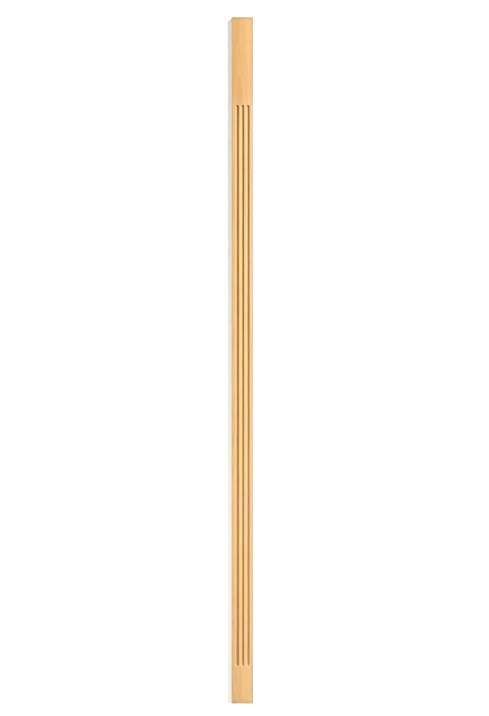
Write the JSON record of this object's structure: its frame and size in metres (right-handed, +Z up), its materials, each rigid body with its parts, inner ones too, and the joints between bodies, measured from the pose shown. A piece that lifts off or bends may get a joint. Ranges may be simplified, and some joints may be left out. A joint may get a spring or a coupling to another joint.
{
  "type": "fluted pilaster",
  "caption": "Tall narrow wooden pilaster board with stopped parallel flutes down its face and plain ends, fixed flat against a wall or a cabinet.",
  "frame": {"origin": "on the back face, in the middle of the width, level with the foot", "axes": "+X across the face, +Y out of the back into the wall, +Z up along the length"},
  "size_m": [0.0762, 0.0191, 2.4384],
  "materials": {
    "wood": "matte"
  },
  "bodies": {
    "root": {"pilaster": "wood"}
  },
  "joints": []
}
